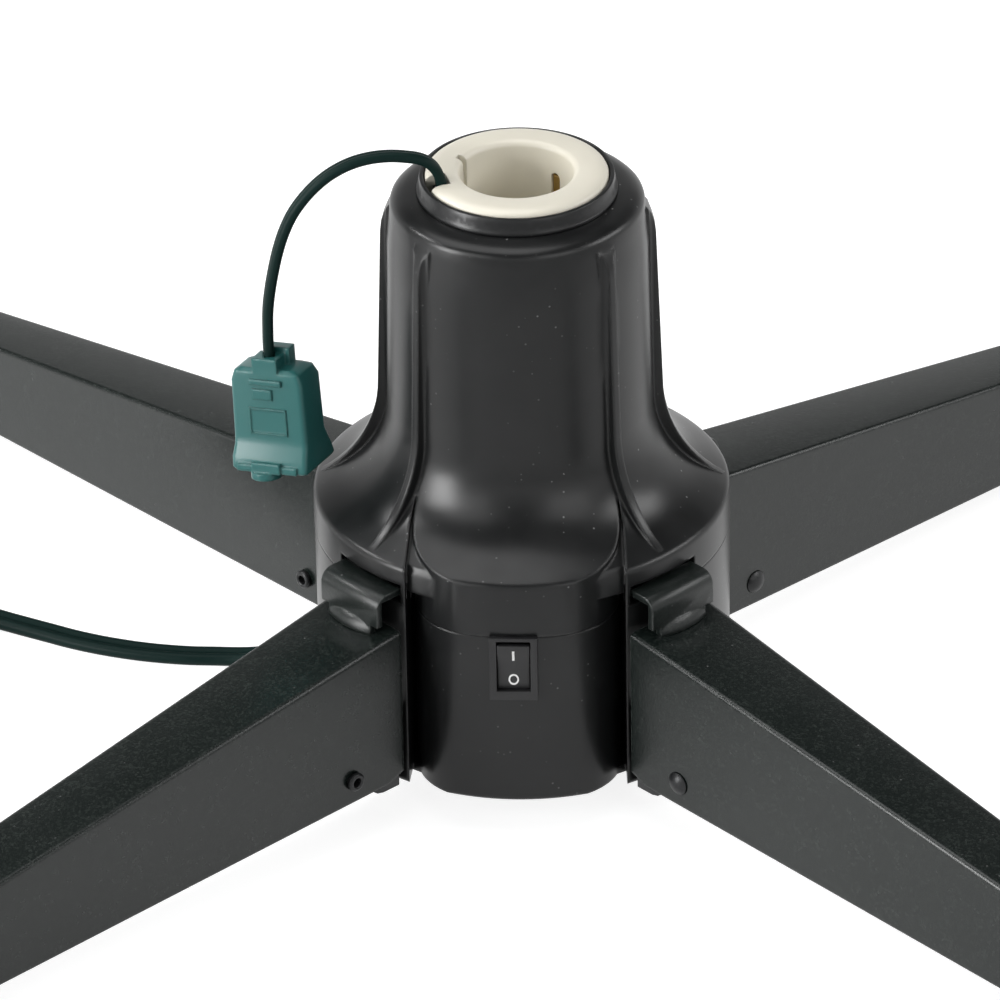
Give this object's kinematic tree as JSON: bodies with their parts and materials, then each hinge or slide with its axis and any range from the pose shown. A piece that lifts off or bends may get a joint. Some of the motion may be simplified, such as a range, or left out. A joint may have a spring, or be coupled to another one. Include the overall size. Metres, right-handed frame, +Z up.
{
  "type": "rotating christmas tree stand",
  "caption": "Motorised rotating christmas tree stand: a ribbed black hub with a white pole socket, a live outlet on a short cord, a rocker switch and fold-down sheet steel legs.",
  "frame": {"origin": "centre of the stand on the floor plane under the four feet, on the axis of rotation", "axes": "+Z up along the pole socket; -Y is the front with the rocker switch; +X to the right seen from the front"},
  "size_m": [0.6076, 0.6076, 0.2032],
  "materials": {
    "hub_plastic": "moulded charcoal black, satin",
    "black_plastic": "moulded black, satin",
    "leg_paint": "green-black baked powder paint, fine speckle",
    "black_steel": "blackened steel",
    "foot_rubber": "moulded black, matt",
    "zinc_steel": "bright zinc plated",
    "gear_nylon": "natural nylon",
    "ivory_plastic": "moulded ivory, semi gloss",
    "contact_brass": "bare rolled brass",
    "brown_resin": "moulded phenolic",
    "switch_plastic": "moulded black with white marks",
    "cord_vinyl": "dark green vinyl",
    "outlet_vinyl": "teal green moulded vinyl"
  },
  "bodies": {
    "hub": {"upper_housing": "hub_plastic", "top_bush": "black_plastic", "base_housing": "hub_plastic", "bottom_cover": "black_plastic", "housing_screws": "zinc_steel", "motor_deck": "zinc_steel", "lower_race": "zinc_steel", "motor_can": "zinc_steel", "motor_screws": "zinc_steel", "brush_holder": "brown_resin", "brush_springs": "contact_brass", "switch_frame": "switch_plastic", "switch_terminals": "contact_brass", "bracket_front_right": "black_steel", "bracket_back_right": "black_steel", "bracket_back_left": "black_steel", "bracket_front_left": "black_steel", "rivet_front_right": "black_steel", "rivet_back_right": "black_steel", "rivet_back_left": "black_steel", "rivet_front_left": "black_steel", "bracket_screws": "zinc_steel", "cord_boot": "cord_vinyl", "cord_clamp": "black_plastic", "mains_cord": "cord_vinyl", "mains_coil": "cord_vinyl", "mains_plug": "cord_vinyl", "plug_blades": "contact_brass"},
    "rotor": {"pole_socket": "ivory_plastic", "pole_spring": "contact_brass", "slip_ring_lower": "contact_brass", "slip_ring_upper": "contact_brass", "riser_cord": "cord_vinyl", "drive_gear": "gear_nylon", "upper_race": "zinc_steel", "top_cord": "cord_vinyl", "outlet_body": "outlet_vinyl", "outlet_cover": "outlet_vinyl", "outlet_contacts": "contact_brass"},
    "bearing": {"bearing_cage": "gear_nylon", "bearing_balls": "zinc_steel"},
    "motor_rotor": {"motor_shaft": "zinc_steel", "pinion": "gear_nylon"},
    "rocker": {"switch_rocker": "switch_plastic"},
    "leg_front_right": {"leg_front_right": "leg_paint", "hook_front_right": "leg_paint", "foot_front_right": "foot_rubber"},
    "leg_back_right": {"leg_back_right": "leg_paint", "hook_back_right": "leg_paint", "foot_back_right": "foot_rubber"},
    "leg_back_left": {"leg_back_left": "leg_paint", "hook_back_left": "leg_paint", "foot_back_left": "foot_rubber"},
    "leg_front_left": {"leg_front_left": "leg_paint", "hook_front_left": "leg_paint", "foot_front_left": "foot_rubber"}
  },
  "joints": [
    {"name": "socket_spin", "type": "hinge", "parent": "hub", "child": "rotor", "pos_m": [0, 0, 0.166], "axis": [0, 0, 1], "continuous": true},
    {"name": "cage_spin", "type": "hinge", "parent": "hub", "child": "bearing", "pos_m": [0, 0, 0.0614], "axis": [0, 0, 1], "continuous": true},
    {"name": "pinion_spin", "type": "hinge", "parent": "hub", "child": "motor_rotor", "pos_m": [0, 0.03625, 0.06], "axis": [0, 0, 1], "continuous": true},
    {"name": "rocker_tilt", "type": "hinge", "parent": "hub", "child": "rocker", "pos_m": [-0.0004, -0.0604, 0.0598], "axis": [-1, 0, 0], "range_deg": [0, 14]},
    {"name": "fold_front_right", "type": "hinge", "parent": "hub", "child": "leg_front_right", "pos_m": [0.05869, -0.05869, 0.023], "axis": [0.7071, 0.7071, 0], "range_deg": [0, 90]},
    {"name": "fold_back_right", "type": "hinge", "parent": "hub", "child": "leg_back_right", "pos_m": [0.05869, 0.05869, 0.023], "axis": [-0.7071, 0.7071, 0], "range_deg": [0, 90]},
    {"name": "fold_back_left", "type": "hinge", "parent": "hub", "child": "leg_back_left", "pos_m": [-0.05869, 0.05869, 0.023], "axis": [-0.7071, -0.7071, 0], "range_deg": [0, 90]},
    {"name": "fold_front_left", "type": "hinge", "parent": "hub", "child": "leg_front_left", "pos_m": [-0.05869, -0.05869, 0.023], "axis": [0.7071, -0.7071, 0], "range_deg": [0, 90]}
  ],
  "couplings": [
    {"joint": "cage_spin", "follows": "socket_spin", "ratio": 0.5},
    {"joint": "pinion_spin", "follows": "socket_spin", "ratio": -5}
  ]
}
